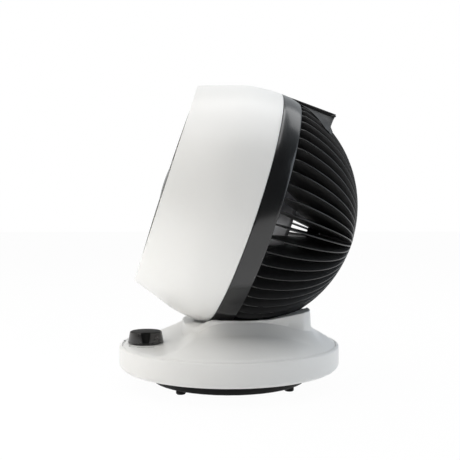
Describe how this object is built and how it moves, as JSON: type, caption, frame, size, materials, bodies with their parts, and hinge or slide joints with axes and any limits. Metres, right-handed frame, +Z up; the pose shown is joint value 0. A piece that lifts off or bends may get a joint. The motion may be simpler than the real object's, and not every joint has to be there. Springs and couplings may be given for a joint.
{
  "type": "air circulator fan",
  "caption": "Table air circulator: round head with finned rear grille and carrying lip, tilting in a cradle on a round base with a front rotary knob.",
  "frame": {"origin": "middle of the overall box, on the surface that the feet stand on", "axes": "+Z up, the fan blows towards -Y, +X is to the right seen from the front"},
  "size_m": [0.263, 0.2601, 0.3236],
  "materials": {
    "white_plastic": "smooth satin white",
    "satin_black_plastic": "satin black",
    "black_plastic": "matt black",
    "smoke_plastic": "satin charcoal",
    "natural_plastic": "natural nylon",
    "rubber_black": "matt",
    "screw_steel": "zinc plated",
    "spindle_steel": "ground",
    "bearing_steel": "ground",
    "motor_casting": "die cast",
    "motor_iron": "laminated iron and windings"
  },
  "bodies": {
    "base": {"base_plate": "black_plastic", "base_screw_1": "screw_steel", "base_screw_2": "screw_steel", "base_screw_3": "screw_steel", "base_screw_4": "screw_steel", "base_tub": "white_plastic", "cord_gland": "rubber_black", "foot_1": "rubber_black", "foot_2": "rubber_black", "foot_3": "rubber_black", "foot_4": "rubber_black", "motor_capacitor": "black_plastic", "pedestal_cover": "white_plastic", "rotary_switch": "black_plastic", "terminal_block": "natural_plastic", "tilt_post": "black_plastic", "tilt_shoe": "natural_plastic"},
    "head": {"front_shell": "white_plastic", "front_grille": "satin_black_plastic", "grille_cap": "satin_black_plastic", "air_duct": "black_plastic", "rear_grille": "satin_black_plastic", "motor_mount": "black_plastic", "motor_front_bell": "motor_casting", "motor_rear_bell": "motor_casting", "stator": "motor_iron", "front_bearing": "bearing_steel", "rear_bearing": "bearing_steel"},
    "rotor": {"rotor_core": "motor_iron", "motor_shaft": "spindle_steel", "fan_blade": "smoke_plastic", "blade_nut": "black_plastic"},
    "knob": {"control_knob": "smoke_plastic", "switch_spindle": "spindle_steel"}
  },
  "joints": [
    {"name": "head_tilt", "type": "hinge", "parent": "base", "child": "head", "pos_m": [0, 0.0033, 0.1902], "axis": [-1, 0, 0], "range_deg": [-18, 72]},
    {"name": "fan_spin", "type": "hinge", "parent": "head", "child": "rotor", "pos_m": [0, 0.0033, 0.1902], "axis": [0, 0.9511, -0.309], "continuous": true},
    {"name": "knob_turn", "type": "hinge", "parent": "base", "child": "knob", "pos_m": [0, -0.1016, 0.0445], "axis": [0, 0, 1], "range_deg": [0, 270]}
  ]
}
